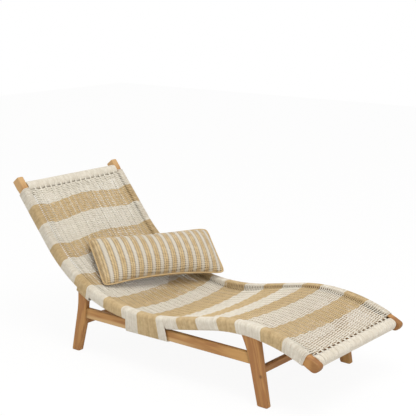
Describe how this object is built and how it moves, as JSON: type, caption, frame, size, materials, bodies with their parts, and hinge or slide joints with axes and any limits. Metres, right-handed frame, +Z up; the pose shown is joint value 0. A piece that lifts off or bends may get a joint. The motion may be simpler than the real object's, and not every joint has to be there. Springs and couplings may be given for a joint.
{
  "type": "sun lounger",
  "caption": "Fixed sun lounger with curved wooden side rails, a sagging panel woven in wide stripes and a loose lumbar cushion.",
  "frame": {"origin": "on the floor, under the middle of the whole object's box", "axes": "+X from the head towards the foot end, +Y to the left of somebody who lies on it, +Z up"},
  "size_m": [1.6848, 0.7366, 0.7518],
  "materials": {
    "teak": "oiled, satin, eased edges",
    "cream_cord": "woven outdoor cord, matt",
    "tan_cord": "woven outdoor cord, matt",
    "cushion_cover": "knitted, striped, matt",
    "filling": "soft filling in a plain case"
  },
  "bodies": {
    "frame": {"back_rail_left": "teak", "back_rail_right": "teak", "seat_rail_left": "teak", "seat_rail_right": "teak", "splice_dowels": "teak", "rear_leg_left": "teak", "rear_leg_right": "teak", "front_leg_left": "teak", "front_leg_right": "teak", "side_stretcher_left": "teak", "side_stretcher_right": "teak", "rear_cross_stretcher": "teak", "front_cross_stretcher": "teak", "head_bar": "teak", "foot_bar": "teak", "head_bar_wrap": "cream_cord", "foot_bar_wrap": "cream_cord", "rail_wrap_tan_left": "tan_cord", "rail_wrap_tan_right": "tan_cord", "rail_wrap_cream_left": "cream_cord", "rail_wrap_cream_right": "cream_cord", "panel_tan": "tan_cord", "panel_cream": "cream_cord"},
    "cushion": {"cushion_face": "cushion_cover", "cushion_back": "cushion_cover", "cushion_piping": "cushion_cover", "cushion_insert": "filling"}
  },
  "joints": [
    {"name": "cushion_lift", "type": "slide", "parent": "frame", "child": "cushion", "axis": [0, 0, 1], "range_m": [0, 0.5]}
  ]
}
